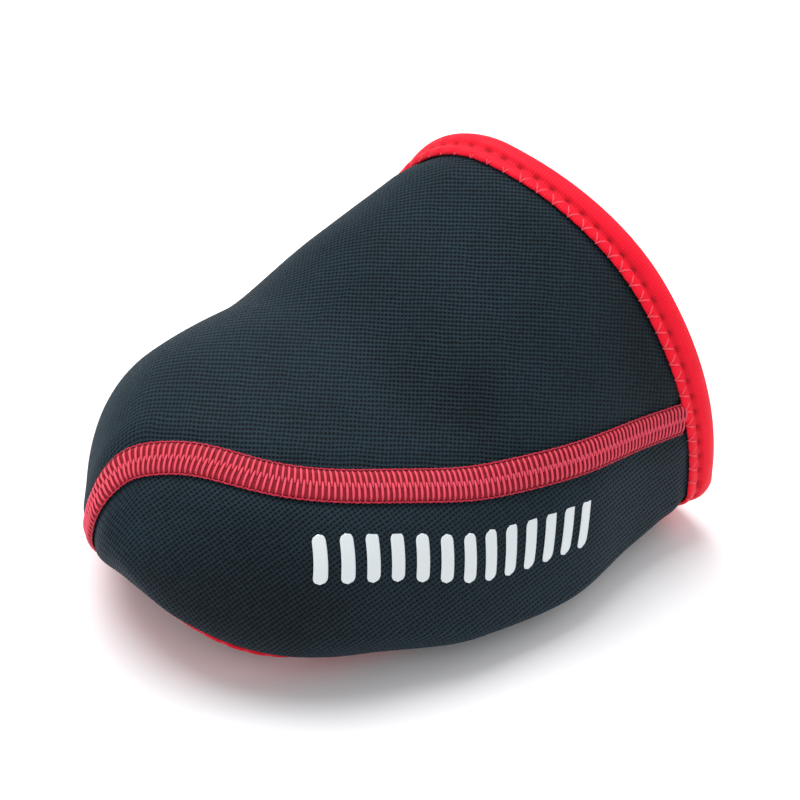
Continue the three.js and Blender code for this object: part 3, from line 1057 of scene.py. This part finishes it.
def cloth(material, colour, height, bump, roughness, specular, sheen, sheen_roughness, sheen_tint):
    """Ends a material as cloth. bump is the strength and the depth in metres."""
    relief = add(material, "ShaderNodeBump", Strength=bump[0], Distance=bump[1], Height=height)
    shader = add(
        material, "ShaderNodeBsdfPrincipled",
        Base_Color=colour, Normal=relief.outputs["Normal"], Roughness=roughness, IOR=1.5,
        Specular_IOR_Level=specular, Sheen_Weight=sheen, Sheen_Roughness=sheen_roughness,
        Sheen_Tint=linear(sheen_tint),
    )
    return finish(material, shader)


def wave(material, coordinate, pitch):
    """A ripple between 0 and 1 along a coordinate, its pitch in the coordinate's own unit."""
    turned = maths(material, "MULTIPLY", coordinate, 2 * math.pi / pitch)
    return maths(material, "MULTIPLY_ADD", maths(material, "SINE", turned), 0.5, 0.5)


# %% [markdown]
# The outer face is a polyester knit laminated to foam rubber. Its rows lie about 0.9 mm apart, and
# its loops stand 0.85 mm apart along them, so it looks like a fine square mesh. The dye is a black
# with a trace of blue-green. The holes are darker, and the fuzz gives a soft sheen at grazing angles.

# %% Knit-faced neoprene
def knit(name, row_pitch, loop_pitch, light, dark, depth, sheen):
    material = new_material(name)
    uv = add(material, "ShaderNodeTexCoord")
    parts = add(material, "ShaderNodeSeparateXYZ", Vector=uv.outputs["UV"])
    where = uv.outputs["Object"]
    # Stretched cloth never lies quite straight: its rows and loops wander by a fifth of a millimetre
    wandered = maths(material, "MULTIPLY", noise(material, where, 150.0, 2.0), 0.8)
    rows = wave(material, maths(material, "ADD", parts.outputs["Y"], wandered), row_pitch)
    loops = wave(material, maths(material, "SUBTRACT", parts.outputs["X"], wandered), loop_pitch)
    # Each row is an unbroken ridge, and the loops bridge the gaps between rows, leaving dark holes
    gap = maths(material, "SUBTRACT", 1.0, rows)
    bridged = maths(material, "MULTIPLY_ADD", loops, -0.78, 1.0)
    height = maths(material, "SUBTRACT", 1.0, maths(material, "MULTIPLY", gap, bridged))
    # Handling rubs the fuzz into faint clouds, and no two loops take quite the same dye
    fleck = maths(material, "MULTIPLY", noise(material, where, 1100.0, 2.0), 0.7)
    uneven = maths(material, "MULTIPLY_ADD", noise(material, where, 70.0, 3.0), 0.35, fleck)
    tone = maths(material, "MULTIPLY_ADD", height, 1.12, maths(material, "SUBTRACT", uneven, 0.82))
    # Painted shade: the knit is painted darker in its creases and hollows, as the mesh's attribute gives
    shade_spots = add(material, "ShaderNodeAttribute", {"attribute_name": "painted_shade"})
    tone = maths(material, "MULTIPLY_ADD", shade_spots.outputs["Fac"], -0.38, tone)
    colour = mixed(material, tone, linear(dark), linear(light))
    return cloth(
        material, colour, height, bump=(depth, 0.00025), roughness=0.72, specular=0.12,
        sheen=sheen, sheen_roughness=0.45, sheen_tint="#749db8",
    )


knit_face = knit("knit_faced_neoprene", 0.9, 0.85, "#1e303a", "#010304", 1.0, 0.075)
lining = knit("plain_knit_lining", 1.3, 0.8, "#16191c", "#07090a", 0.5, 0.05)
for material in (knit_face, lining):
    neoprene.data.materials.append(material)


# %% [markdown]
# Binding tape is a narrow nylon knit with some stretch, dyed a full red. Fine ribs run across it, about
# 0.7 mm apart, and cords run along it, about 1 mm apart, which is 0.04 of the way round the fold. In the
# stitches' dimples and trough its red is painted darker, as painted shade.

# %% Binding tape
def tape_finish(name, length, light, dark):
    material = new_material(name)
    uv = add(material, "ShaderNodeTexCoord")
    parts = add(material, "ShaderNodeSeparateXYZ", Vector=uv.outputs["UV"])
    along = maths(material, "MULTIPLY", parts.outputs["X"], length)
    ribs = wave(material, along, 0.7)
    cords = wave(material, parts.outputs["Y"], 0.04)
    weave = maths(material, "MULTIPLY", ribs, maths(material, "MULTIPLY_ADD", cords, 0.4, 0.6))
    cloud = maths(material, "MULTIPLY", noise(material, uv.outputs["Object"], 160.0, 2.0), 0.8)
    tone = maths(material, "MULTIPLY_ADD", weave, 0.4, cloud)
    colour = mixed(material, tone, linear(dark), linear(light))
    # Painted shade: a darker red in the stitches' dimples and trough, where shade falls
    painted_shade = add(material, "ShaderNodeAttribute", {"attribute_name": "painted_shade"})
    with_painted_shade = mixed(material, painted_shade.outputs["Fac"], colour, linear("#8c0616"))
    return cloth(
        material, with_painted_shade, weave, bump=(0.35, 0.0002), roughness=0.6, specular=0.14,
        sheen=0.03, sheen_roughness=0.4, sheen_tint="#ff9aa0",
    )


# Each tape: its object, its material's name, its length, and its light and dark colours
for tape, name, length, light, dark in (
    (collar_tape, "nylon_binding_tape_collar", collar_length, "#f8142f", "#d80a26"),
    (window_tape, "nylon_binding_tape_window", window_length, "#e0122c", "#b8081e"),
):
    tape.data.materials.append(tape_finish(name, length, light, dark))


# %% [markdown]
# The thread is bulked polyester, so it is soft and a little fuzzy, and looks pinker than the tape where
# the light catches it. The ground under it is the same thread, packed, and painted a darker red for the
# shade it lies in.

# %% Sewing thread
def thread_finish(name, colour, roughness, sheen):
    material = new_material(name)
    where = add(material, "ShaderNodeTexCoord")
    cloud = noise(material, where.outputs["Object"], 900.0, 2.0)
    light = linear(colour)
    dark = [v * 0.62 for v in light[:3]] + [1.0]
    return cloth(
        material, mixed(material, cloud, dark, light), cloud, bump=(0.3, 0.0001), roughness=roughness,
        specular=0.3, sheen=sheen, sheen_roughness=0.35, sheen_tint="#ffb0b8",
    )


# Each thread: its name, colour, roughness and sheen, and the pieces made of it
for name, colour, roughness, sheen, pieces in (
    # The seam's ground is painted a darker red for the shade between the strands
    ("packed_seam_thread_painted_shade", "#900c20", 0.8, 0.02, [seam_ground]),
    ("bulked_polyester_thread", "#f04e66", 0.6, 0.2, [seam_threads]),
    ("fine_edge_thread", "#c42440", 0.6, 0.1, [seam_edges]),
    ("zigzag_thread", "#ff4c5e", 0.55, 0.1, [collar_stitches, window_stitches]),
):
    thread = thread_finish(name, colour, roughness, sheen)
    for piece in pieces:
        piece.data.materials.append(thread)


# %% [markdown]
# Reflective film is a print of glass beads in clear ink. By day it is a pale silver grey, matt, with
# a faint grain.

# %% Reflective film
film = new_material("glass_bead_film")
film_where = add(film, "ShaderNodeTexCoord")
beads = noise(film, film_where.outputs["Object"], 2200.0, 1.0)
film_bump = add(film, "ShaderNodeBump", Strength=0.15, Distance=0.00005, Height=beads)
film_shader = add(
    film, "ShaderNodeBsdfPrincipled",
    Base_Color=linear("#d3dadd"), Roughness=0.42, Metallic=0.15, IOR=1.5,
    Normal=film_bump.outputs["Normal"],
)
finish(film, film_shader)
reflective_print.data.materials.append(film)


# %% [markdown]
# The stage is a wide pale floor. One large soft light hangs high on the inner side. A weak one stands
# in front on the outer side, another behind, and the sky is plain and bright.

# %% Floor and light
SKY_STRENGTH = 0.66

bpy.ops.object.select_all(action="DESELECT")
bpy.ops.mesh.primitive_plane_add(size=14, location=(0, 0, 0))
floor = bpy.context.object
floor.name = "floor"
floor_finish = new_material("pale_card")
floor_shader = add(floor_finish, "ShaderNodeBsdfPrincipled", Base_Color=linear("#f4f4f6"), Roughness=0.9)
floor.data.materials.append(finish(floor_finish, floor_shader))


def soft_light(name, power, size, place):
    """A square light of a size in metres and a power in watts, aimed at the cover's middle."""
    aim = Vector((0, 0, 0.03))
    bpy.ops.object.light_add(type="AREA", location=place)
    light = bpy.context.object
    light.name = name
    light.data.energy = power
    light.data.size = size
    light.rotation_euler = (aim - Vector(place)).to_track_quat("-Z", "Y").to_euler()
    print("Light %s: %g W, %g m wide" % (name, power, size))


soft_light("key", 98, 2.3, (-1.15, 0.0, 2.75))
soft_light("fill", 6, 2.0, (1.4, -1.2, 1.4))
soft_light("rim", 8, 1.6, (0.3, 2.0, 1.4))

world = bpy.data.worlds.new("studio")
bpy.context.scene.world = world
world.use_nodes = True
sky = world.node_tree.nodes["Background"]
sky.inputs["Color"].default_value = (1, 1, 1, 1)
sky.inputs["Strength"].default_value = SKY_STRENGTH
bpy.context.scene.view_settings.view_transform = "Standard"


# %% [markdown]
# The camera stands where the photograph was taken: in front of the toe, about 43 degrees round to the
# outer side, and looking down at about 33 degrees. It is turned slightly about its own axis, as there.

# %% Camera
CAMERA_PLACE = (0.2643, -0.2798, 0.2929)
CAMERA_AIM = (0.0038, 0.004, 0.038)
CAMERA_ROLL = 6.75
CAMERA_LENS = 92.7

bpy.ops.object.camera_add(location=CAMERA_PLACE)
camera = bpy.context.object
camera.name = "camera"
look = (Vector(CAMERA_AIM) - Vector(CAMERA_PLACE)).to_track_quat("-Z", "Y").to_matrix()
roll = Matrix.Rotation(math.radians(CAMERA_ROLL), 3, "Z")
camera.rotation_euler = (look @ roll).to_euler()
camera.data.lens = CAMERA_LENS
camera.data.sensor_width = 36
camera.data.clip_start = 0.01
bpy.context.scene.camera = camera
print("Camera: %.1f mm lens, %.2f m up" % (CAMERA_LENS, camera.location.z))

# %% [markdown] Updating the view layer

bpy.context.view_layer.update()
